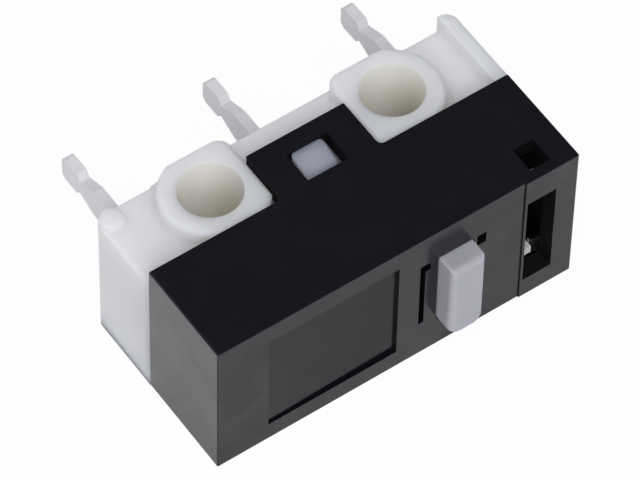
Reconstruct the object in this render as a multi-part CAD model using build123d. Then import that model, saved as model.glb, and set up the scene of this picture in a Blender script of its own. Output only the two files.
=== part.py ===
from build123d import *

import math
import os

# Subminiature snap-action switch with a pin plunger and three solder pins.
# Units are millimetres. The switch lies on one broad face, at Z = 0. X runs
# along its length, the plunger points to -Y and the solder pins to +Y. The
# origin is midway between the axes of the two mounting holes.

# ------------------------------------------------------------- driving sizes
# Housing
thickness = 5.8
pin_pitch = 5.08           # between neighbouring solder pins
end_margin = 1.32          # outer solder pin to the end of the housing
hole_pitch = 6.5
hole_radius = 1.0
front_reach = 5.0          # hole line to the face that the plunger comes out of
seam_reach = 1.47          # hole line to the joint between cover and base
seat_reach = 1.5           # hole line to the face that sits on the circuit board
fit_gap = 0.04             # between the cover and what it slides over
same_place = 1e-4          # two corners nearer than this are one

# Cover
front_wall = 0.55
side_wall = 0.55           # the two broad walls, and the latch tabs
end_wall = 0.5
cover_round = 0.05         # outer edges
cavity_round = 0.25        # inner edges that run along Y
tab_width = 3.5
tab_reach = 1.86           # seam to the free end of a latch tab
tab_root_round = 0.2
tab_tip_round = 0.05
window_width = 1.46
window_height = 1.12
window_bar = 0.62          # strip left between the window and the tab's end
panel_length = 4.6         # bare sunk panel on the front face
panel_low = 0.75           # its lower and upper edges above the bottom
panel_high = 5.0
panel_deep = 0.12          # depth at the middle of the switch
panel_shallow = 0.07       # depth at its other end
end_step = 0.05            # the end of the front face stands this much proud
end_step_length = 1.91
slot_width = 1.04          # slot over the end of the snap spring
slot_low = 0.85            # its lower and upper edges above the bottom
slot_high = 4.7
slot_inset = 1.3           # slot centre to the end of the housing
pivot_width = 0.74         # square hole that takes the foot of a lever
pivot_height = 0.88
pivot_inset = 1.17         # hole centre to the end of the housing
pivot_drop = 0.73          # hole centre to the front face
groove_x = 0.86            # long hooked groove beside the plunger
groove_low = 1.55
groove_high = 4.45
groove_hook = 0.27         # length and height of its hook
hook_height = 0.34
groove_width = 0.19
groove_depth = 0.25
pocket_x = 2.97            # small pocket on the plunger's other side
pocket_width = 0.33
pocket_low = 3.95
pocket_high = 4.42

# Base
deck_drop = 0.72           # thickness lost outside the bosses
boss_radius = 1.6
boss_gap = 0.06            # between a boss and the latch tab
boss_drop = 0.05           # boss top below the cover's broad face
boss_round = 0.45          # its corner beside the tab
boss_cut = 0.38            # corner cut off one boss beside the tab's root
boss_edge = 0.18           # its upper edge
rim_width = 0.46
rim_drop = 0.04
rim_round = 0.06
foot_round = 0.25          # hollow corner between the deck and what stands on it
corner_pad_radius = 0.4    # round pad on the back corner of the deck
corner_pad_height = 0.17
corner_pad_edge = 0.12
base_round = 0.42          # back corners of the base
deck_round = 0.15          # upper edge of the base
plug_rise = 0.43           # how far the base reaches into the cover
lug_width = 1.1
lug_shift = -0.07          # lug centre, off the middle of the window
lug_play = 0.12            # window's front edge to the foot of the ramp
lug_height = 0.57
lug_lead = 0.3             # height of the lug at the foot of its ramp
lug_flat = 0.25            # place of the crown, from the back of the lug
lug_round = 0.14

# Plunger
plunger_x = 2.05
plunger_width = 1.22
plunger_low = 1.12         # its lower and upper sides above the bottom
plunger_high = 4.4
plunger_reach = 0.72       # how far it stands out of the cover at rest
plunger_round = 0.22       # edges of its tip
plunger_corner = 0.06      # upper corners
plunger_heel = 0.4         # lower corners
plunger_gap = 0.04         # running gap around the plunger
flange_step = 0.25
flange_depth = 0.2
flange_height = 4.0
foot_radius = 0.3          # rounded foot that bears on the spring

# Solder pins
pin_thickness = 0.36
pin_width = 1.1
pin_reach = 3.45           # seat to the tip of a pin
head_width = 0.94
head_length = 0.8
waist_width = 0.5
waist_from_tip = 0.98
shoulder_from_tip = 1.7
pin_tip_round = 0.22

# Contacts and snap spring
contact_inset = 1.08       # contact axis to the outer solder pin
contact_radius = 0.55
contact_stem = 0.3
contact_height = 0.3
contact_crown = 0.1        # part of the height that is domed
contact_tail = 0.1
tail_radius = 0.4
contact_gap = 0.04         # left between two contacts that meet
contact_travel = 0.34
plate_width = 1.7          # inner plates of the two fixed contacts
plate_round = 0.25
spring_thickness = 0.1
spring_width = 4.4
spring_leg = 0.45
spring_hook = 0.45         # end of the spring beyond the post
hook_grip = 0.3            # how far a hook reaches in behind the post
hook_play = 0.02           # between a hook and the post
spring_neck = 1.8          # width at the contact end
spring_tail = 0.7          # blade left beyond the moving contact
spring_gap = 0.06
tongue_width = 1.4
tongue_bow = 0.45
post_width = 3.5
post_notch = 0.15
post_rise = 0.12           # how far the post stands in front of the spring
post_ear = 0.3             # width of the two ears that hold the spring
post_sink = 1.1            # how far the post is cut away between its ears
anchor_inset = 2.13        # tongue's anchor to the outer solder pin
anchor_width = 2.0
anchor_height = 0.85

# ------------------------------------------------------------- worked out
length = 2 * (pin_pitch + end_margin)
half_length = length / 2
mid_z = thickness / 2
deck_z = thickness - deck_drop
front_y = -front_reach
seam_y = -seam_reach
seat_y = seat_reach
tab_end_y = seam_y + tab_reach
window_back_y = tab_end_y - window_bar
window_front_y = window_back_y - window_height
ceiling_y = front_y + front_wall
boss_inner = tab_width / 2 + boss_gap
contact_x = contact_inset - pin_pitch
anchor_x = pin_pitch - anchor_inset
floor_y = seam_y - plug_rise
pin_tip_y = seat_y + pin_reach
plate_y = floor_y - pin_thickness / 2
# The spring hangs from the far face of the common post, close under the
# front wall, and its other end lies between the two fixed contacts.
pivot_x = pin_pitch + pin_thickness / 2
pivot_y = ceiling_y + spring_gap + spring_thickness / 2
moving_half = contact_height + spring_thickness / 2
fixed_top_y = floor_y - pin_thickness - contact_height
contact_y = fixed_top_y - contact_gap - contact_travel - moving_half
spring_angle = math.degrees(math.atan2(contact_y - pivot_y, pivot_x - contact_x))
spring_reach = math.hypot(contact_y - pivot_y, pivot_x - contact_x)
closed_face_y = contact_y - moving_half - contact_gap
closed_arm_y = closed_face_y - contact_height - pin_thickness / 2
blade_half = spring_thickness / 2 / math.cos(math.radians(spring_angle))
blade_slope = math.tan(math.radians(spring_angle))
foot_y = pivot_y + (pivot_x - plunger_x) * blade_slope - blade_half - spring_gap


def block(x, y, z):
    """Rectangular block between a low and a high limit on each axis."""
    size = [high - low for low, high in (x, y, z)]
    middle = [(high + low) / 2 for low, high in (x, y, z)]
    return Pos(*middle) * Box(*size)


def both_faces(shape):
    """The shape and its mirror image on the other broad face."""
    return shape + mirror(shape, about=Plane.XY.offset(mid_z))


def along(shape, axis):
    """Edges that run along an axis."""
    return shape.edges().filter_by(axis)


# ------------------------------------------------------------- cover
def tab_plan(grow=0.0):
    """Plan of a latch tab with its rounded roots, grown by a clearance."""
    half = tab_width / 2 + grow
    end = tab_end_y + grow
    tab = Pos(0, (seam_y + end) / 2) * Rectangle(2 * half, end - seam_y)
    tab = fillet(tab.vertices().group_by(Axis.Y)[-1], tab_tip_round)
    root_half = half + 2 * tab_root_round
    root = Pos(0, seam_y - side_wall / 2) * Rectangle(2 * root_half, side_wall)
    plan = tab + root
    corners = plan.vertices().filter_by(
        lambda v: abs(v.Y - seam_y) < same_place and abs(abs(v.X) - half) < same_place
    )
    return fillet(corners, tab_root_round - grow)


def window_block(z):
    """The latch window through a tab, over a span of Z."""
    half = window_width / 2
    return block((-half, half), (window_front_y, window_back_y), z)


def on_front(sketch, x, depth):
    """A cutter that sinks a sketch (X to the right, Z up) into the front."""
    plane = Plane(origin=(x, front_y, mid_z), x_dir=(1, 0, 0), z_dir=(0, -1, 0))
    return extrude(plane * sketch, amount=-depth)


def front_cut(x, z, depth):
    """A cutter sunk into the front face between limits of X and Z."""
    return block(x, (front_y, front_y + depth), z)


def guide_grooves():
    """Long hooked groove and small pocket, one each side of the plunger."""
    half = groove_width / 2
    bar = front_cut((groove_x - half, groove_x + half), (groove_low, groove_high), groove_depth)
    hook = front_cut(
        (groove_x, groove_x + groove_hook),
        (groove_high - hook_height, groove_high),
        groove_depth,
    )
    pocket_half = pocket_width / 2
    pocket = front_cut(
        (pocket_x - pocket_half, pocket_x + pocket_half),
        (pocket_low, pocket_high),
        groove_depth,
    )
    return bar + hook + pocket


def panel():
    """Cutter for the bare panel, which is deepest at the middle."""
    plan = Polyline(
        (0, front_y),
        (-panel_length, front_y),
        (-panel_length, front_y + panel_shallow),
        (0, front_y + panel_deep),
        close=True,
    )
    return Pos(0, 0, panel_low) * extrude(make_face(plan), amount=panel_high - panel_low)


def plunger_section(grow=0.0):
    """Section of the plunger in X and Z, grown by a clearance."""
    height = plunger_high - plunger_low
    section = Rectangle(plunger_width + 2 * grow, height + 2 * grow)
    section = fillet(section.vertices().group_by(Axis.Y)[0], plunger_heel + grow)
    section = fillet(section.vertices().group_by(Axis.Y)[-1], plunger_corner + grow)
    return Pos(0, (plunger_high + plunger_low) / 2 - mid_z) * section


def softened(box, first_x):
    """A cover block with its outer edges rounded, open rim left sharp."""
    edges = box.edges().filter_by(lambda e: e.center().Y < seam_y - fit_gap)
    if first_x > -half_length:
        edges = edges.filter_by(lambda e: e.center().X > first_x + fit_gap)
    return fillet(edges, cover_round)


def cover():
    """Black cover: an open box with a latch tab on each broad face."""
    step_x = half_length - end_step_length
    main = block((-half_length, half_length), (front_y, seam_y), (0, thickness))
    end = block((step_x, half_length), (front_y - end_step, seam_y), (0, thickness))
    shell = softened(main, -half_length) + softened(end, step_x)
    inner_x = half_length - end_wall
    cavity = block((-inner_x, inner_x), (ceiling_y, seam_y), (side_wall, thickness - side_wall))
    shell -= fillet(along(cavity, Axis.Y), cavity_round)
    tab = Pos(0, 0, thickness - side_wall) * extrude(tab_plan(), amount=side_wall)
    shell += both_faces(tab)
    shell -= window_block((0, side_wall))
    shell -= window_block((thickness - side_wall, thickness))

    shell -= on_front(plunger_section(plunger_gap), plunger_x, front_wall)
    shell -= guide_grooves()
    shell -= panel()
    slot_x = half_length - slot_inset
    slot = (slot_x - slot_width / 2, slot_x + slot_width / 2)
    shell -= block(slot, (front_y - end_step, ceiling_y), (slot_low, slot_high))

    pivot_x0 = half_length - pivot_inset - pivot_width / 2
    pivot_y0 = front_y + pivot_drop - pivot_height / 2
    pivot = block(
        (pivot_x0, pivot_x0 + pivot_width),
        (pivot_y0, pivot_y0 + pivot_height),
        (thickness - side_wall, thickness),
    )
    return shell - both_faces(pivot)


# ------------------------------------------------------------- terminals
def pin_outline():
    """Outline of a solder pin in the YZ plane, waisted behind its head."""
    root = pin_width / 2
    head = head_width / 2
    waist_y = pin_tip_y - waist_from_tip
    head_y = pin_tip_y - head_length
    shoulder_y = pin_tip_y - shoulder_from_tip
    side = [
        (floor_y, root),
        (shoulder_y, root),
        (waist_y, waist_width / 2),
        (head_y, head),
        (pin_tip_y, head),
    ]
    far = [(y, -z) for y, z in reversed(side)]
    outline = make_face(Polyline(*side, *far, close=True))
    tip = outline.vertices().group_by(Axis.X)[-1]
    return fillet(tip, pin_tip_round)


def pin(x):
    """Solder pin at a place along the switch, up to the inner floor."""
    plane = Plane(origin=(x, 0, mid_z), x_dir=(0, 1, 0), z_dir=(1, 0, 0))
    return extrude(plane * pin_outline(), amount=pin_thickness / 2, both=True)


def strip(points, width):
    """Sheet-metal strip that follows a bent line in the XY plane."""
    bend = pin_thickness
    path = FilletPolyline(*points, radius=bend) if len(points) > 2 else Line(*points)
    band = trace(path, line_width=pin_thickness)
    return Pos(0, 0, mid_z) * extrude(band, amount=width / 2, both=True)


def rivet_hole(y):
    """Hole for a contact rivet, along Y through a plate centred at y."""
    hole = Cylinder(contact_stem, 2 * pin_thickness, rotation=(90, 0, 0))
    return Pos(contact_x, y, mid_z) * hole


def common_terminal():
    """Pin, the post that the spring hangs from, and the tongue's anchor."""
    top_y = pivot_y - spring_thickness / 2 - post_rise
    post = strip([(pin_pitch, floor_y), (pin_pitch, top_y)], post_width)
    half = post_width / 2
    notch_half = spring_thickness / 2 + spring_gap
    lean = blade_slope * pin_thickness
    for side in (-1, 1):
        edge = mid_z + side * half
        z = sorted((edge, edge - side * post_notch))
        y = (pivot_y - notch_half, pivot_y + notch_half + lean)
        post -= block((pin_pitch - pin_thickness, pin_pitch + pin_thickness), y, z)
    gap = half - post_ear
    post -= block(
        (pin_pitch - pin_thickness, pin_pitch + pin_thickness),
        (top_y, top_y + post_sink),
        (mid_z - gap, mid_z + gap),
    )
    foot = strip(
        [(pin_pitch, plate_y), (anchor_x, plate_y), (anchor_x, plate_y - anchor_height)],
        anchor_width,
    )
    return pin(pin_pitch) + post + foot


def open_terminal():
    """Pin and the floor plate that carries the normally open contact."""
    end_x = contact_x - contact_radius - plate_round
    plate = strip([(0, plate_y), (end_x, plate_y)], plate_width)
    plate = fillet(along(plate, Axis.Y).group_by(Axis.X)[0], plate_round)
    return pin(0) + plate - rivet_hole(plate_y)


def closed_terminal():
    """Pin, riser and the arm over the moving contact."""
    end_x = contact_x + contact_radius + plate_round
    riser = strip(
        [(-pin_pitch, floor_y), (-pin_pitch, closed_arm_y), (end_x, closed_arm_y)],
        plate_width,
    )
    riser = fillet(along(riser, Axis.Y).group_by(Axis.X)[-1], plate_round)
    return pin(-pin_pitch) + riser - rivet_hole(closed_arm_y)


# ------------------------------------------------------------- contacts
def contact_head():
    """Contact head along +Z from the origin, with a domed top."""
    straight = contact_height - contact_crown
    head = Pos(0, 0, straight / 2) * Cylinder(contact_radius, straight)
    dome_radius = (contact_radius**2 + contact_crown**2) / (2 * contact_crown)
    ball = Pos(0, 0, contact_height - dome_radius) * Sphere(dome_radius)
    cap = Pos(0, 0, straight + contact_crown / 2) * Cylinder(contact_radius, contact_crown)
    return head + (cap & ball)


def fixed_contact(plate_middle_y, facing):
    """Rivet in a fixed plate, its head facing +Y (1) or -Y (-1)."""
    half = pin_thickness / 2
    head = Pos(0, 0, half) * contact_head()
    stem = Cylinder(contact_stem, pin_thickness)
    tail = Pos(0, 0, -half - contact_tail / 2) * Cylinder(tail_radius, contact_tail)
    turn = Rot(-90 * facing, 0, 0)
    return Pos(contact_x, plate_middle_y, mid_z) * turn * (head + stem + tail)


def moving_contact():
    """Double-headed rivet through the end of the snap spring."""
    half = spring_thickness / 2
    head = Pos(0, 0, half) * contact_head()
    stem = Cylinder(contact_stem, spring_thickness)
    rivet = head + stem + mirror(head, about=Plane.XY)
    lean = Rot(0, 0, -spring_angle)
    return Pos(contact_x, contact_y, mid_z) * lean * Rot(90, 0, 0) * rivet


# ------------------------------------------------------------- snap spring
def spring_plane():
    """Plane of the spring: X from the pivot to the contact, Y along Z."""
    lean = math.radians(spring_angle)
    return Plane(
        origin=(pivot_x, pivot_y, mid_z),
        x_dir=(-math.cos(lean), math.sin(lean), 0),
        z_dir=(-math.sin(lean), -math.cos(lean), 0),
    )


def snap_spring():
    """Blade with two legs hooked on the post and a bowed middle tongue."""
    half = spring_width / 2
    neck = spring_neck / 2
    neck_end = spring_reach - contact_radius - spring_leg
    neck_start = neck_end - (half - neck)
    tip = spring_reach + spring_tail
    side = [(-spring_hook, half), (neck_start, half), (neck_end, neck), (tip, neck)]
    far = [(u, -v) for u, v in reversed(side)]
    blade = make_face(Polyline(*side, *far, close=True))
    inner = half - spring_leg
    root = neck_end - spring_leg
    inner_neck = tongue_width / 2
    window_side = [(-hook_play, inner), (neck_start - spring_leg / 2, inner), (root, inner_neck)]
    window_far = [(u, -v) for u, v in reversed(window_side)]
    blade -= make_face(Polyline(*window_side, *window_far, close=True))
    hook_gap = 2 * (post_width / 2 - post_notch - hook_grip)
    blade -= Pos(-spring_hook / 2, 0) * Rectangle(spring_hook, hook_gap)
    blade -= Pos(spring_reach, 0) * Circle(contact_stem)
    plane = spring_plane()
    flat = extrude(plane * blade, amount=spring_thickness / 2, both=True)

    start = plane.from_local_coords(Vector(root, 0, 0))
    stop_x = anchor_x - pin_thickness / 2 - spring_gap
    stop = Vector(stop_x, plate_y - anchor_height + pin_thickness, mid_z)
    middle = (start + stop) * 0.5 + Vector(0, tongue_bow, 0)
    arc = ThreePointArc(start, middle, stop)
    level = Plane.XY.offset(mid_z)
    path = level.to_local_coords(arc)
    band = level * trace(path, line_width=spring_thickness)
    return flat + extrude(band, amount=tongue_width / 2, both=True)


# ------------------------------------------------------------- plunger
def plunger():
    """Pin plunger with a stop flange and a rounded foot on the spring."""
    flange_y = ceiling_y + plunger_gap
    tip = Plane(
        origin=(plunger_x, front_y - plunger_reach, mid_z),
        x_dir=(1, 0, 0),
        z_dir=(0, -1, 0),
    )
    stem = extrude(tip * plunger_section(), amount=front_y - plunger_reach - flange_y)
    stem = fillet(stem.faces().sort_by(Axis.Y)[0].edges(), plunger_round)
    half_w = plunger_width / 2 + flange_step
    x = (plunger_x - half_w, plunger_x + half_w)
    z = (mid_z - flange_height / 2, mid_z + flange_height / 2)
    flange = block(x, (flange_y, flange_y + flange_depth), z)
    rod = Pos(plunger_x, foot_y - foot_radius, mid_z) * Cylinder(foot_radius, flange_height)
    return stem + flange + (rod & block(x, (flange_y, foot_y), z))


# ------------------------------------------------------------- base
def latch_lug():
    """Ramped lug that the window of the upper latch tab snaps over."""
    foot_z = thickness - side_wall - fit_gap
    front = window_front_y + lug_play
    back = window_back_y - fit_gap
    lead = (front, foot_z + lug_lead)
    top = (back, foot_z + lug_height)
    crown = (back - lug_flat, foot_z + lug_height)
    side = Polyline(lead, (front, foot_z), (back, foot_z), top) + ThreePointArc(top, crown, lead)
    lug = extrude(Plane.YZ * make_face(side), amount=lug_width / 2, both=True)
    return Pos(lug_shift, 0, 0) * fillet(along(lug, Axis.Z), lug_round)


def foot_section():
    """Section of a hollow corner, the wall on its left and the deck below."""
    size = foot_round + fit_gap
    middle = (foot_round - fit_gap) / 2
    square = Pos(middle, middle) * Rectangle(size, size)
    return square - Pos(foot_round, foot_round) * Circle(foot_round)


def boss_foot(side):
    """Hollow corner around the outer half of a boss."""
    ring = revolve(Plane.XZ * Pos(boss_radius, 0) * foot_section(), Axis.Z)
    reach = sorted((0, side * (boss_radius + foot_round)))
    ring &= block(reach, (seam_y, seat_y), (-fit_gap, foot_round))
    return Pos(side * hole_pitch / 2, 0, deck_z) * ring


def rim_foot():
    """Hollow corner along the inner side of the rim."""
    plane = Plane(origin=(half_length - rim_width, seam_y, deck_z), x_dir=(-1, 0, 0), z_dir=(0, 1, 0))
    return extrude(plane * foot_section(), amount=seat_y - seam_y - deck_round)


def boss(side):
    """Round boss at a mounting hole, squared off towards the latch tab."""
    x = side * hole_pitch / 2
    inner = side * boss_inner
    web = Pos((x + inner) / 2, (seat_y + seam_y) / 2) * Rectangle(abs(x - inner), seat_y - seam_y)
    corner = web.vertices().group_by(Axis.Y)[-1].sort_by(lambda v: abs(v.X))[0]
    strip_plan = Pos(x, (seat_y + seam_y) / 2) * Rectangle(2 * boss_radius, seat_y - seam_y)
    outer = (Pos(x, 0) * Circle(boss_radius)) & strip_plan
    half_plan = Pos(x + side * boss_radius / 2, 0) * Rectangle(boss_radius, 2 * boss_radius)
    plan = (outer & half_plan) + fillet(corner, boss_round)
    if side < 0:
        cut = 2 * boss_cut / math.sqrt(2)
        plan -= Pos(inner, seam_y) * Rot(0, 0, 45) * Rectangle(cut, cut)
    plan -= tab_plan(fit_gap)
    low = deck_z - deck_round
    rise = thickness - boss_drop - low
    post = Pos(0, 0, low) * extrude(plan, amount=rise)
    top = post.faces().sort_by(Axis.Z)[-1].edges()
    outer_edges = top.filter_by(
        lambda e: e.center().Y > seam_y + fit_gap and abs(e.center().X) > boss_inner + fit_gap
    )
    return fillet(outer_edges, boss_edge)


def rim():
    """Raised rim along the end of the base."""
    bar = block(
        (half_length - rim_width, half_length),
        (seam_y, seat_y),
        (deck_z - deck_round, thickness - rim_drop),
    )
    outer = along(bar, Axis.Z).group_by(Axis.Y)[-1].sort_by(Axis.X)[-1]
    bar = fillet(outer, base_round)
    top = bar.faces().sort_by(Axis.Z)[-1].edges().filter_by(lambda e: e.center().Y > seam_y)
    return fillet(top, rim_round)


def corner_pad():
    """Low round pad that follows the back corner of the deck."""
    low = deck_z - deck_round
    rise = corner_pad_height + deck_round
    place = Pos(base_round - half_length, seat_y - base_round, low + rise / 2)
    pad = place * Cylinder(corner_pad_radius, rise)
    return fillet(pad.faces().sort_by(Axis.Z)[-1].edges(), corner_pad_edge)


def base(terminals):
    """White base: deck, bosses, rim, latch lugs, and slots for the pins."""
    body = block((-half_length, half_length), (seam_y, seat_y), (0, deck_z))
    body = fillet(along(body, Axis.Z).group_by(Axis.Y)[-1], base_round)
    top = body.faces().sort_by(Axis.Z)[-1].edges()
    body = fillet(top.filter_by(lambda e: e.center().Y > seam_y + fit_gap), deck_round)
    plug_x = half_length - end_wall - fit_gap
    plug_z = side_wall + fit_gap
    plug = block((-plug_x, plug_x), (floor_y, seam_y), (plug_z, thickness - plug_z))
    body += fillet(along(plug, Axis.Y), cavity_round)
    for side in (-1, 1):
        body += boss(side) + boss_foot(side)
    body += rim() + rim_foot()
    body += corner_pad()
    tab_foot = tab_width / 2 - fit_gap
    body += block(
        (-tab_foot, tab_foot),
        (seam_y, tab_end_y - side_wall / 2),
        (deck_z, thickness - plug_z),
    )
    pocket = extrude(tab_plan(fit_gap), amount=plug_z)
    body -= pocket & block((-half_length, half_length), (seam_y, seat_y), (0, plug_z))
    body += both_faces(latch_lug())
    for side in (-1, 1):
        body -= Pos(side * hole_pitch / 2, 0, mid_z) * Cylinder(hole_radius, 2 * thickness)
    tail = Cylinder(tail_radius + fit_gap, 2 * contact_tail, rotation=(90, 0, 0))
    body -= Pos(contact_x, floor_y, mid_z) * tail
    for terminal in terminals:
        body -= terminal
    return body


# ------------------------------------------------------------- write
def build():
    """All the nodes of the switch, by name."""
    terminals = {
        "common_terminal": common_terminal(),
        "normally_open_terminal": open_terminal(),
        "normally_closed_terminal": closed_terminal(),
    }
    return {
        "cover": cover(),
        "base": base(terminals.values()),
        "plunger": plunger(),
        **terminals,
        "snap_spring": snap_spring(),
        "moving_contact": moving_contact(),
        "normally_open_contact": fixed_contact(plate_y, -1),
        "normally_closed_contact": fixed_contact(closed_arm_y, 1),
    }


os.makedirs("parts", exist_ok=True)
for name, shape in build().items():
    export_step(shape, f"parts/{name}.step")
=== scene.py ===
"""Visual model of a subminiature snap-action switch, dressed over its CAD frame.

Every CAD solid keeps its shape and gets a procedural finish. The scene adds
the floor, the studio light and the camera. Places and sizes are in metres, in
the frame of the CAD model.
"""

from __future__ import annotations

import logging
import math
from abc import ABC, abstractmethod
from dataclasses import dataclass
from enum import Enum
from functools import cached_property

import bpy
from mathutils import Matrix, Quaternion, Vector


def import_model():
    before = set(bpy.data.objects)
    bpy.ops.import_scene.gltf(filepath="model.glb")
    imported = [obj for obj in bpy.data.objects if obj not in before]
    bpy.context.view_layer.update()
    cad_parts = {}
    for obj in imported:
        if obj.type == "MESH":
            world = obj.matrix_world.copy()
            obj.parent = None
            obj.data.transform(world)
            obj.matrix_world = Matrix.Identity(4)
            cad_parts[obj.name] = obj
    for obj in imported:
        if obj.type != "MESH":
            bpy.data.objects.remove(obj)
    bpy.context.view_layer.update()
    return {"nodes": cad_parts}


LOG = logging.getLogger("switch")
MM = 0.001
SHADER_NODE = "Principled BSDF"

# Places of the colour sockets of a Mix node.
MIX_FIRST, MIX_SECOND, MIX_RESULT = 6, 7, 2

Colour = tuple[float, float, float]
Point = tuple[float, float, float]
Span = tuple[float, float]
Node = bpy.types.Node
Socket = bpy.types.NodeSocket


class Side(Enum):
    """The two sides of a node group."""

    INPUT = "INPUT"
    OUTPUT = "OUTPUT"


class Maths(Enum):
    """What a Math node works out."""

    ABSOLUTE = "ABSOLUTE"
    ADD = "ADD"
    DIVIDE = "DIVIDE"
    GREATER_THAN = "GREATER_THAN"
    LESS_THAN = "LESS_THAN"
    MAXIMUM = "MAXIMUM"
    MINIMUM = "MINIMUM"
    MULTIPLY = "MULTIPLY"
    SQUARE_ROOT = "SQRT"
    SUBTRACT = "SUBTRACT"


# ---------------------------------------------------------------- node tools
class Graph:
    """Small helper that adds and links nodes in one tree."""

    def __init__(self, tree: bpy.types.NodeTree) -> None:
        """Keeps the node tree that it fills."""
        self.tree = tree

    def add(self, kind: str, **settings: object) -> Node:
        """Adds a node.

        Args:
            kind: the node's type name.
            settings: properties to set on it.

        Returns:
            The new node.
        """
        node = self.tree.nodes.new(kind)
        for name, value in settings.items():
            setattr(node, name, value)
        return node

    def effect(self, group: bpy.types.NodeTree, values: dict[str, float]) -> Node:
        """Places a node group.

        Args:
            group: the node group.
            values: what to set its inputs to, by name.

        Returns:
            The group's node.
        """
        node = self.add("ShaderNodeGroup", node_tree=group)
        for name, value in values.items():
            node.inputs[name].default_value = value
        return node

    def link(self, source: Socket, target: Socket) -> None:
        """Links an output socket to an input socket."""
        self.tree.links.new(source, target)

    def coordinates(self) -> Socket:
        """Returns the output that gives a point's place in the CAD frame."""
        return self.add("ShaderNodeTexCoord").outputs["Object"]

    def place(self) -> bpy.types.NodeOutputs:
        """Splits a point's place in the CAD frame.

        Returns:
            The outputs X, Y and Z.
        """
        node = self.add("ShaderNodeSeparateXYZ")
        self.link(self.coordinates(), node.inputs["Vector"])
        return node.outputs

    def math(
        self, operation: Maths, first: Socket | float, second: Socket | float | None = None
    ) -> Socket:
        """Adds a Math node.

        Args:
            operation: what it works out.
            first: a socket or a number.
            second: a socket or a number, if the operation has two.

        Returns:
            The node's output.
        """
        node = self.add("ShaderNodeMath", operation=operation.value)
        for index, value in enumerate((first, second)):
            if isinstance(value, Socket):
                self.link(value, node.inputs[index])
            elif value is not None:
                node.inputs[index].default_value = value
        return node.outputs["Value"]

    def within(self, value: Socket, low: Socket, high: Socket) -> Socket:
        """Tells where a value lies between two limits.

        Args:
            value: the value.
            low: its lower limit.
            high: its upper limit.

        Returns:
            An output that is 1 between the limits and 0 elsewhere.
        """
        above = self.math(Maths.GREATER_THAN, value, low)
        below = self.math(Maths.LESS_THAN, value, high)
        return self.math(Maths.MULTIPLY, above, below)

    def spread(self, value: Socket, span: Span) -> Socket:
        """Maps a value onto a span.

        Args:
            value: a value from 0 to 1.
            span: what 0 and 1 become.

        Returns:
            The mapped value's output.
        """
        node = self.add("ShaderNodeMapRange")
        self.link(value, node.inputs["Value"])
        node.inputs["To Min"].default_value, node.inputs["To Max"].default_value = span
        return node.outputs["Result"]

    def blend(self, mask: Socket, first: Socket | Colour, second: Colour) -> Socket:
        """Mixes two colours.

        Args:
            mask: share of the second colour.
            first: a colour or the socket that gives it.
            second: a colour.

        Returns:
            The mixed colour's output.
        """
        node = self.add("ShaderNodeMix", data_type="RGBA")
        self.link(mask, node.inputs["Factor"])
        if isinstance(first, Socket):
            self.link(first, node.inputs[MIX_FIRST])
        else:
            node.inputs[MIX_FIRST].default_value = (*first, 1.0)
        node.inputs[MIX_SECOND].default_value = (*second, 1.0)
        return node.outputs[MIX_RESULT]

    def lay_over(self, target: Socket, mask: Socket, tint: Colour) -> None:
        """Lays a plain colour over what already feeds a colour socket."""
        self.link(self.blend(mask, target.links[0].from_socket, tint), target)


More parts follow.
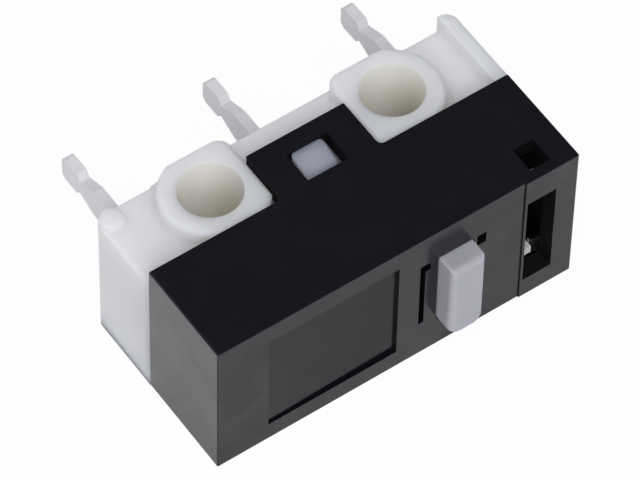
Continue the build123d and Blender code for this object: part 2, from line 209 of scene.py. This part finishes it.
@dataclass(frozen=True)
class SurfaceEffects:
    """The effects that the finishes share, each built once.

    Attributes:
        flow_detail: finer layers in the flow marks.
        flow_bend: how strongly the flow marks are bent.
        grain_detail: finer layers in the grain.
        grain_share: height of the grain against that of the flow marks.
        line_detail: finer layers in the drawing lines.
        line_scale: scale of the drawing lines on the three axes.
    """

    flow_detail: float = 3.0
    flow_bend: float = 0.8
    grain_detail: float = 5.0
    grain_share: float = 0.25
    line_detail: float = 4.0
    line_scale: Point = (1.0, 0.06, 1.0)

    def _group(
        self, name: str, inputs: list[str], outputs: list[str]
    ) -> tuple[Graph, bpy.types.NodeOutputs, bpy.types.NodeInputs]:
        """Starts a node group with value sockets.

        Args:
            name: the group's name.
            inputs: names of its value inputs.
            outputs: names of its value outputs.

        Returns:
            The graph, the sockets that bring the inputs and the sockets that
            take the outputs.
        """
        tree = bpy.data.node_groups.new(name, "ShaderNodeTree")
        for side, labels in ((Side.INPUT, inputs), (Side.OUTPUT, outputs)):
            for label in labels:
                tree.interface.new_socket(
                    label, in_out=side.value, socket_type="NodeSocketFloat"
                )
        graph = Graph(tree)
        return graph, graph.add("NodeGroupInput").outputs, graph.add("NodeGroupOutput").inputs

    @cached_property
    def mould_skin(self) -> bpy.types.NodeTree:
        """Faint flow marks and a fine grain, as moulded plastic has.

        Returns:
            The group, with inputs Patch Size and Fine Size (features to the
            metre) and outputs Patches, Fine and Height.
        """
        graph, given, wanted = self._group(
            "mould_skin", ["Patch Size", "Fine Size"], ["Patches", "Fine", "Height"]
        )
        place = graph.coordinates()
        flow = graph.add("ShaderNodeTexNoise")
        flow.inputs["Detail"].default_value = self.flow_detail
        flow.inputs["Distortion"].default_value = self.flow_bend
        grain = graph.add("ShaderNodeTexNoise")
        grain.inputs["Detail"].default_value = self.grain_detail
        for noise, size in ((flow, given["Patch Size"]), (grain, given["Fine Size"])):
            graph.link(place, noise.inputs["Vector"])
            graph.link(size, noise.inputs["Scale"])
        fine = graph.math(Maths.MULTIPLY, grain.outputs["Fac"], self.grain_share)
        graph.link(flow.outputs["Fac"], wanted["Patches"])
        graph.link(grain.outputs["Fac"], wanted["Fine"])
        graph.link(graph.math(Maths.ADD, flow.outputs["Fac"], fine), wanted["Height"])
        return graph.tree

    @cached_property
    def drawn_sheet(self) -> bpy.types.NodeTree:
        """Fine drawing lines and a slight mottle, as stamped sheet metal has.

        Returns:
            The group, with inputs Patch Size and Fine Size (features to the
            metre) and outputs Patches, Fine and Height.
        """
        graph, given, wanted = self._group(
            "drawn_sheet", ["Patch Size", "Fine Size"], ["Patches", "Fine", "Height"]
        )
        place = graph.coordinates()
        stretch = graph.add("ShaderNodeMapping")
        stretch.inputs["Scale"].default_value = self.line_scale
        graph.link(place, stretch.inputs["Vector"])
        lines = graph.add("ShaderNodeTexNoise")
        lines.inputs["Detail"].default_value = self.line_detail
        graph.link(stretch.outputs["Vector"], lines.inputs["Vector"])
        graph.link(given["Fine Size"], lines.inputs["Scale"])
        mottle = graph.add("ShaderNodeTexNoise")
        graph.link(place, mottle.inputs["Vector"])
        graph.link(given["Patch Size"], mottle.inputs["Scale"])
        height = graph.math(Maths.ADD, lines.outputs["Fac"], mottle.outputs["Fac"])
        graph.link(mottle.outputs["Fac"], wanted["Patches"])
        graph.link(lines.outputs["Fac"], wanted["Fine"])
        graph.link(height, wanted["Height"])
        return graph.tree

    @cached_property
    def bore_tone_and_shade_mask(self) -> bpy.types.NodeTree:
        """Marks the walls of the two mounting holes, which lie on the X axis, for their warm
        tone and painted shade.

        Returns:
            The group, with inputs Half Pitch and Radius in metres and
            output Mask.
        """
        graph, given, wanted = self._group("bore_tone_and_shade_mask", ["Half Pitch", "Radius"], ["Mask"])
        place = graph.place()
        aside = graph.math(Maths.ABSOLUTE, place["X"])
        along = graph.math(Maths.SUBTRACT, aside, given["Half Pitch"])
        squares = [graph.math(Maths.MULTIPLY, part, part) for part in (along, place["Y"])]
        reach = graph.math(Maths.SQUARE_ROOT, graph.math(Maths.ADD, *squares))
        graph.link(graph.math(Maths.LESS_THAN, reach, given["Radius"]), wanted["Mask"])
        return graph.tree

    @cached_property
    def lug_shade_mask(self) -> bpy.types.NodeTree:
        """Marks a box in X and Y that is centred on X = 0, for the painted shade on the latch
        lugs.

        Returns:
            The group, with inputs Half Width, Front and Back in metres and
            output Mask.
        """
        graph, given, wanted = self._group(
            "lug_shade_mask", ["Half Width", "Front", "Back"], ["Mask"]
        )
        place = graph.place()
        aside = graph.math(Maths.ABSOLUTE, place["X"])
        narrow = graph.math(Maths.LESS_THAN, aside, given["Half Width"])
        deep = graph.within(place["Y"], given["Front"], given["Back"])
        graph.link(graph.math(Maths.MULTIPLY, narrow, deep), wanted["Mask"])
        return graph.tree

    @cached_property
    def sunk_mask(self) -> bpy.types.NodeTree:
        """Marks what lies behind a face that looks along -Y, within a box.

        Returns:
            The group, with inputs Left, Right, Low, High, Face, Depth (where
            the mask is full) and Back in metres and output Mask.
        """
        labels = ["Left", "Right", "Low", "High", "Face", "Depth", "Back"]
        limits = (("X", "Left", "Right"), ("Y", "Face", "Back"), ("Z", "Low", "High"))
        graph, given, wanted = self._group("sunk_mask", labels, ["Mask"])
        place = graph.place()
        behind = graph.math(Maths.SUBTRACT, place["Y"], given["Face"])
        mask = graph.math(Maths.MINIMUM, graph.math(Maths.DIVIDE, behind, given["Depth"]), 1.0)
        for axis, low, high in limits:
            inside = graph.within(place[axis], given[low], given[high])
            mask = graph.math(Maths.MULTIPLY, mask, inside)
        graph.link(mask, wanted["Mask"])
        return graph.tree


EFFECTS = SurfaceEffects()


# ---------------------------------------------------------------- finishes
@dataclass(frozen=True)
class Finish(ABC):
    """A finish with two colours, a varying roughness and a fine relief.

    Attributes:
        name: the material's name.
        colour: main colour.
        tint: colour that the patches drift towards.
        roughness: lowest and highest roughness.
        patch_size: patches to the metre.
        fine_size: grains or lines to the metre.
        relief: strength of the bump.
        depth: height of the bump in metres.
    """

    name: str
    colour: Colour
    tint: Colour
    roughness: Span
    patch_size: float
    fine_size: float
    relief: float
    depth: float

    @abstractmethod
    def effect(self) -> bpy.types.NodeTree:
        """Returns the effect that gives Patches, Fine and Height."""

    @abstractmethod
    def accents(self, graph: Graph, shader: Node, skin: Node) -> None:
        """Adds what this finish has beyond colours, roughness and relief.

        Args:
            graph: the material's graph.
            shader: its shader.
            skin: its effect's node.
        """

    def material(self) -> bpy.types.Material:
        """Builds the material.

        Returns:
            The material.
        """
        material = bpy.data.materials.new(self.name)
        material.use_nodes = True
        graph = Graph(material.node_tree)
        shader = material.node_tree.nodes[SHADER_NODE]
        sizes = {"Patch Size": self.patch_size, "Fine Size": self.fine_size}
        skin = graph.effect(self.effect(), sizes)
        colour = graph.blend(skin.outputs["Patches"], self.colour, self.tint)
        graph.link(colour, shader.inputs["Base Color"])
        roughness = graph.spread(skin.outputs["Fine"], self.roughness)
        graph.link(roughness, shader.inputs["Roughness"])
        bump = graph.add("ShaderNodeBump")
        bump.inputs["Strength"].default_value = self.relief
        bump.inputs["Distance"].default_value = self.depth
        graph.link(skin.outputs["Height"], bump.inputs["Height"])
        graph.link(bump.outputs["Normal"], shader.inputs["Normal"])
        self.accents(graph, shader, skin)
        return material


@dataclass(frozen=True)
class MouldedPlastic(Finish):
    """Injection-moulded plastic with flow marks, fine grain and gloss.

    Attributes:
        glow: share of light that passes under the surface.
        glow_reach: how far that light travels, in metres.
        glow_spread: how far its red, green and blue travel, as shares of that.
        gloss: specular level.
        sheen: tint of the mirrored light.
    """

    patch_size: float = 350.0
    fine_size: float = 9000.0
    relief: float = 0.15
    depth: float = 4e-6
    glow: float = 0.0
    glow_reach: float = 4e-4
    glow_spread: Colour = (1.0, 0.92, 0.8)
    gloss: float = 0.5
    sheen: Colour = (1.0, 1.0, 1.0)

    def effect(self) -> bpy.types.NodeTree:
        """Returns the effect of moulded plastic."""
        return EFFECTS.mould_skin

    def accents(self, graph: Graph, shader: Node, skin: Node) -> None:
        """Sets the gloss and the glow.

        Args:
            graph: the material's graph; not used here.
            shader: its shader.
            skin: its effect's node; not used here.
        """
        shader.inputs["Specular IOR Level"].default_value = self.gloss
        shader.inputs["Specular Tint"].default_value = (*self.sheen, 1.0)
        shader.inputs["Subsurface Weight"].default_value = self.glow
        shader.inputs["Subsurface Scale"].default_value = self.glow_reach
        shader.inputs["Subsurface Radius"].default_value = self.glow_spread


@dataclass(frozen=True)
class SunkZone:
    """A box behind the front face of the cover.

    Attributes:
        across: its limits along X.
        rise: its limits along Z.
        face: its front, along Y.
        depth: how far behind that the mask is full.
        back: its back, along Y.
    """

    across: Span
    rise: Span
    face: float
    depth: float
    back: float

    def mask(self, graph: Graph) -> Socket:
        """Places the zone's mask in a material.

        Args:
            graph: the material's graph.

        Returns:
            The mask's output.
        """
        (left, right), (low, high) = self.across, self.rise
        limits = {"Left": left, "Right": right, "Low": low, "High": high}
        limits |= {"Face": self.face, "Depth": self.depth, "Back": self.back}
        return graph.effect(EFFECTS.sunk_mask, limits).outputs["Mask"]


@dataclass(frozen=True)
class CoverPlastic(MouldedPlastic):
    """Glossy plastic of the cover, dull in its sunk panel and painted darker as shade inside.

    Attributes:
        panel: the sunk panel of the front face.
        inside: the cavity, the walls of the grooves and the edges of the tabs, which get
            painted shade.
        slot: the slot over the end of the spring, which gets painted shade too.
        inner_painted_shade: near-black colour laid over the cavity, groove walls, tab edges
            and slot as painted shade.
        inner_roughness: its roughness.
        shine: mean coat weight of the outer faces.
        drift: share by which the flow marks change it, both ways.
    """

    panel: SunkZone = SunkZone(
        across=(-4.6 * MM, 0.0),
        rise=(0.75 * MM, 5.0 * MM),
        face=-5.0 * MM,
        depth=0.12 * MM,
        back=-4.8 * MM,
    )
    inside: SunkZone = SunkZone(
        across=(-6.2 * MM, 6.2 * MM),
        rise=(0.01 * MM, 5.79 * MM),
        face=-4.86 * MM,
        depth=0.08 * MM,
        back=0.5 * MM,
    )
    slot: SunkZone = SunkZone(
        across=(4.5 * MM, 5.65 * MM),
        rise=(0.84 * MM, 4.71 * MM),
        face=-5.04 * MM,
        depth=0.02 * MM,
        back=-4.8 * MM,
    )
    # Near black laid over the inside zones and the slot as painted shade.
    inner_painted_shade: Colour = (0.001, 0.001, 0.0012)
    inner_roughness: float = 0.8
    shine: float = 0.36
    drift: float = 0.55

    def accents(self, graph: Graph, shader: Node, skin: Node) -> None:
        """Adds the uneven shine, the dull panel and the painted shade inside.

        Args:
            graph: the material's graph.
            shader: its shader.
            skin: its effect's node.
        """
        super().accents(graph, shader, skin)
        # Paints the cavity, groove walls, tab edges and slot darker, as painted shade.
        inside = graph.math(Maths.MAXIMUM, self.inside.mask(graph), self.slot.mask(graph))
        graph.lay_over(shader.inputs["Base Color"], inside, self.inner_painted_shade)
        roughness = shader.inputs["Roughness"]
        dull = graph.math(Maths.MULTIPLY, inside, self.inner_roughness)
        graph.link(graph.math(Maths.MAXIMUM, roughness.links[0].from_socket, dull), roughness)
        bare = graph.math(Maths.MAXIMUM, inside, self.panel.mask(graph))
        span = (self.shine * (1 - self.drift), self.shine * (1 + self.drift))
        coat = graph.spread(skin.outputs["Patches"], span)
        coat = graph.math(Maths.MULTIPLY, coat, graph.math(Maths.SUBTRACT, 1.0, bare))
        graph.link(coat, shader.inputs["Coat Weight"])
        shader.inputs["Coat Roughness"].default_value = sum(self.roughness) / 2


@dataclass(frozen=True)
class BasePlastic(MouldedPlastic):
    """Milky plastic of the base, with warmer hole walls darkened as painted shade, and painted
    shade on the lugs.

    Attributes:
        bore_tone_and_shade: colour of the walls of the mounting holes, the plastic's warm tone
            darkened as painted shade in the bores.
        lug_painted_shade: colour of the latch lugs, painted darker as shade from the black
            cover around them.
        hole_pitch: distance between the mounting holes.
        hole_radius: their radius, with a little over it to take in the walls.
        lug_width: width of the band around a latch lug that gets the painted shade.
        lug_span: its limits along Y.
    """

    # Warm tone of the hole walls, darkened as painted shade in the bores.
    bore_tone_and_shade: Colour = (0.81, 0.785, 0.725)
    # Painted shade on the latch lugs, which sit darker among the black cover.
    lug_painted_shade: Colour = (0.36, 0.375, 0.435)
    hole_pitch: float = 6.5 * MM
    hole_radius: float = 1.01 * MM
    lug_width: float = 1.5 * MM
    lug_span: Span = (-1.4 * MM, -0.2 * MM)

    def accents(self, graph: Graph, shader: Node, skin: Node) -> None:
        """Adds the warmer hole walls with painted shade, and the painted shade on the lugs.

        Args:
            graph: the material's graph.
            shader: its shader.
            skin: its effect's node.
        """
        super().accents(graph, shader, skin)
        holes = {"Half Pitch": self.hole_pitch / 2, "Radius": self.hole_radius}
        front, back = self.lug_span
        lugs = {"Half Width": self.lug_width / 2, "Front": front, "Back": back}
        # Lays the hole walls' tone with painted shade, and the lugs' painted shade, over the
        # colour.
        for group, limits, tint in (
            (EFFECTS.bore_tone_and_shade_mask, holes, self.bore_tone_and_shade),
            (EFFECTS.lug_shade_mask, lugs, self.lug_painted_shade),
        ):
            mask = graph.effect(group, limits).outputs["Mask"]
            graph.lay_over(shader.inputs["Base Color"], mask, tint)


@dataclass(frozen=True)
class SheetMetal(Finish):
    """Stamped, plated sheet metal with drawing lines and a slight mottle.

    Attributes:
        metal: share of the surface that mirrors as bare metal.
    """

    patch_size: float = 1500.0
    fine_size: float = 16000.0
    relief: float = 0.2
    depth: float = 3e-6
    metal: float = 1.0

    def effect(self) -> bpy.types.NodeTree:
        """Returns the effect of drawn sheet."""
        return EFFECTS.drawn_sheet

    def accents(self, graph: Graph, shader: Node, skin: Node) -> None:
        """Sets how metallic the sheet is.

        Args:
            graph: the material's graph; not used here.
            shader: its shader.
            skin: its effect's node; not used here.
        """
        shader.inputs["Metallic"].default_value = self.metal


@dataclass(frozen=True)
class StudioSurface:
    """Pale surface that the camera and reflections see as near white.

    Attributes:
        name: the material's name.
        colour: colour under the lamps.
        shown: share of plain white that the camera sees.
        mirrored: share of plain white that reflections see.
    """

    name: str
    colour: Colour = (0.86, 0.86, 0.86)
    shown: float = 0.96
    mirrored: float = 0.15

    def material(self) -> bpy.types.Material:
        """Builds the material.

        Returns:
            The material.
        """
        material = bpy.data.materials.new(self.name)
        material.use_nodes = True
        nodes = material.node_tree.nodes
        nodes.remove(nodes[SHADER_NODE])
        graph = Graph(material.node_tree)
        matt = graph.add("ShaderNodeBsdfDiffuse")
        matt.inputs["Color"].default_value = (*self.colour, 1.0)
        white = graph.add("ShaderNodeEmission")
        ray = graph.add("ShaderNodeLightPath").outputs
        seen = graph.math(Maths.MAXIMUM, ray["Is Camera Ray"], ray["Is Transmission Ray"])
        shown = graph.math(Maths.MULTIPLY, seen, self.shown)
        mirrored = graph.math(Maths.MULTIPLY, ray["Is Glossy Ray"], self.mirrored)
        mix = graph.add("ShaderNodeMixShader")
        share, first, second = mix.inputs
        graph.link(graph.math(Maths.MAXIMUM, shown, mirrored), share)
        graph.link(matt.outputs["BSDF"], first)
        graph.link(white.outputs["Emission"], second)
        graph.link(mix.outputs["Shader"], nodes["Material Output"].inputs["Surface"])
        return material


COVER_BLACK = CoverPlastic(
    "cover_black",
    colour=(0.0035, 0.0034, 0.0048),
    tint=(0.0055, 0.0054, 0.0070),
    roughness=(0.14, 0.24),
    patch_size=650.0,
    relief=0.5,
    gloss=0.21,
    sheen=(0.90, 0.88, 1.0),
)
BASE_WHITE = BasePlastic(
    "base_white",
    colour=(0.76, 0.76, 0.765),
    tint=(0.72, 0.72, 0.73),
    roughness=(0.4, 0.55),
    glow=1.0,
    glow_reach=2.0e-3,
    gloss=0.3,
)
# The plunger's bluish white, painted down to mid grey as shade from the black cover around it.
PLUNGER_SHADED_WHITE = MouldedPlastic(
    "plunger_shaded_white",
    colour=(0.465, 0.465, 0.51),
    tint=(0.425, 0.425, 0.475),
    roughness=(0.5, 0.6),
    glow=1.0,
    glow_reach=3e-4,
    gloss=0.22,
)
PIN_PLATING = SheetMetal(
    "pin_plating",
    colour=(0.79, 0.79, 0.795),
    tint=(0.74, 0.74, 0.75),
    roughness=(0.45, 0.60),
    metal=0.12,
)
SPRING_ALLOY = SheetMetal(
    "spring_alloy",
    colour=(0.75, 0.72, 0.68),
    tint=(0.66, 0.62, 0.56),
    roughness=(0.12, 0.24),
)
CONTACT_SILVER = SheetMetal(
    "contact_silver",
    colour=(0.86, 0.86, 0.85),
    tint=(0.78, 0.78, 0.77),
    roughness=(0.18, 0.3),
)


# ---------------------------------------------------------------- dressing
def dress(node: bpy.types.Object, finish: Finish) -> None:
    """Gives all faces of a CAD node one finish and logs it.

    Args:
        node: the CAD node's object.
        finish: the finish.
    """
    material = bpy.data.materials.get(finish.name) or finish.material()
    node.data.materials.clear()
    node.data.materials.append(material)
    for polygon in node.data.polygons:
        polygon.material_index = 0
    LOG.info("dressed %s in %s", node.name, finish.name)


@dataclass(frozen=True)
class SwitchHousing:
    """The latched cover and the base that carries the pins.

    Attributes:
        cover: name of the cover's node.
        base: name of the base's node.
    """

    cover: str = "cover"
    base: str = "base"

    def build(self, nodes: dict[str, bpy.types.Object]) -> None:
        """Dresses the two mouldings, given the CAD nodes by name."""
        dress(nodes[self.cover], COVER_BLACK)
        dress(nodes[self.base], BASE_WHITE)


@dataclass(frozen=True)
class PlungerKnob:
    """The pin plunger.

    Attributes:
        plunger: name of its node.
    """

    plunger: str = "plunger"

    def build(self, nodes: dict[str, bpy.types.Object]) -> None:
        """Dresses the plunger, given the CAD nodes by name."""
        dress(nodes[self.plunger], PLUNGER_SHADED_WHITE)


@dataclass(frozen=True)
class ContactSet:
    """The stamped terminals, the snap spring and the contact rivets.

    Attributes:
        terminals: names of the terminals' nodes.
        spring: name of the snap spring's node.
        contacts: names of the contact rivets' nodes.
    """

    terminals: tuple[str, ...] = (
        "common_terminal",
        "normally_open_terminal",
        "normally_closed_terminal",
    )
    spring: str = "snap_spring"
    contacts: tuple[str, ...] = (
        "moving_contact",
        "normally_open_contact",
        "normally_closed_contact",
    )

    def build(self, nodes: dict[str, bpy.types.Object]) -> None:
        """Dresses the metal parts.

        Args:
            nodes: the CAD nodes by name.
        """
        for name in self.terminals:
            dress(nodes[name], PIN_PLATING)
        dress(nodes[self.spring], SPRING_ALLOY)
        for name in self.contacts:
            dress(nodes[name], CONTACT_SILVER)


# ---------------------------------------------------------------- studio
@dataclass(frozen=True)
class SoftLamp:
    """A square soft lamp that faces the switch.

    Attributes:
        name: its name.
        place: where it hangs.
        size: its width.
        watts: its power.
        colour: colour of its light.
    """

    name: str
    place: Point
    size: float
    watts: float
    colour: Colour = (1.0, 1.0, 1.0)

    def hang(self) -> None:
        """Adds the lamp to the scene."""
        light = bpy.data.lights.new(self.name, "AREA")
        light.shape = "SQUARE"
        light.size = self.size
        light.energy = self.watts
        light.color = self.colour
        lamp = bpy.data.objects.new(self.name, light)
        lamp.location = self.place
        lamp.rotation_mode = "QUATERNION"
        lamp.rotation_quaternion = (-Vector(self.place)).to_track_quat("-Z", "Y")
        bpy.context.scene.collection.objects.link(lamp)


@dataclass(frozen=True)
class Studio:
    """Floor, lamps, world and camera.

    Attributes:
        floor_span: width of the floor.
        floor_gap: how far it lies under the switch, so that no faces meet.
        lamps: the lamps.
        sky_colour: colour of the world.
        sky_strength: strength of the world's light.
        target: the point that the camera looks at.
        distance: from the target to the camera.
        azimuth: direction that the camera looks, from +Y towards +X, in degrees.
        elevation: height of the camera above the horizon, in degrees.
        roll: turn of the camera about its line of sight, in degrees.
        lens: focal length in millimetres.
        sensor: width of the camera's sensor in millimetres.
        view: nearest and farthest distance that the camera shows.
    """

    floor_span: float = 3.0
    floor_gap: float = 2e-6
    lamps: tuple[SoftLamp, ...] = (
        SoftLamp("key_lamp", place=(-0.155, -0.29, 0.38), size=0.50, watts=2.55),
        SoftLamp("back_lamp", place=(-0.12, 0.38, 0.34), size=0.40, watts=0.75),
    )
    sky_colour: Colour = (0.80, 0.84, 1.0)
    sky_strength: float = 0.18
    target: Point = (-0.440 * MM, -1.624 * MM, 2.9 * MM)
    distance: float = 167.65 * MM
    azimuth: float = 36.005
    elevation: float = 54.412
    roll: float = 1.471
    lens: float = 318.63
    sensor: float = 36.0
    view: Span = (0.005, 20.0)

    def floor(self) -> None:
        """Adds the pale floor under the switch."""
        half = self.floor_span / 2
        mesh = bpy.data.meshes.new("floor")
        rim = [(-half, -half, 0), (half, -half, 0), (half, half, 0), (-half, half, 0)]
        mesh.from_pydata(rim, [], [(0, 1, 2, 3)])
        floor = bpy.data.objects.new("floor", mesh)
        floor.location.z = -self.floor_gap
        bpy.context.scene.collection.objects.link(floor)
        mesh.materials.append(StudioSurface("floor_white").material())

    def light(self) -> None:
        """Sets the world and hangs the lamps."""
        world = bpy.data.worlds.new("studio")
        bpy.context.scene.world = world
        world.use_nodes = True
        sky = world.node_tree.nodes["Background"]
        sky.inputs["Color"].default_value = (*self.sky_colour, 1.0)
        sky.inputs["Strength"].default_value = self.sky_strength
        for lamp in self.lamps:
            lamp.hang()

    def camera(self) -> None:
        """Places the camera."""
        data = bpy.data.cameras.new("camera")
        data.sensor_width = self.sensor
        data.lens = self.lens
        data.clip_start, data.clip_end = self.view
        camera = bpy.data.objects.new("camera", data)
        bpy.context.scene.collection.objects.link(camera)
        turn, rise = math.radians(self.azimuth), math.radians(self.elevation)
        level = math.cos(rise)
        back = Vector((-math.sin(turn) * level, -math.cos(turn) * level, math.sin(rise)))
        camera.location = Vector(self.target) + back * self.distance
        camera.rotation_mode = "QUATERNION"
        tilt = Quaternion((0, 0, 1), math.radians(self.roll))
        camera.rotation_quaternion = (-back).to_track_quat("-Z", "Y") @ tilt
        bpy.context.scene.camera = camera

    def build(self) -> None:
        """Builds the whole studio."""
        self.floor()
        self.light()
        self.camera()
        bpy.context.scene.view_settings.view_transform = "Standard"
        LOG.info("studio ready")


def main() -> None:
    """Builds the switch and its studio."""
    logging.basicConfig(level=logging.INFO)
    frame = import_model()
    nodes = frame["nodes"]
    SwitchHousing().build(nodes)
    PlungerKnob().build(nodes)
    ContactSet().build(nodes)
    Studio().build()


if __name__ == "__main__":
    main()
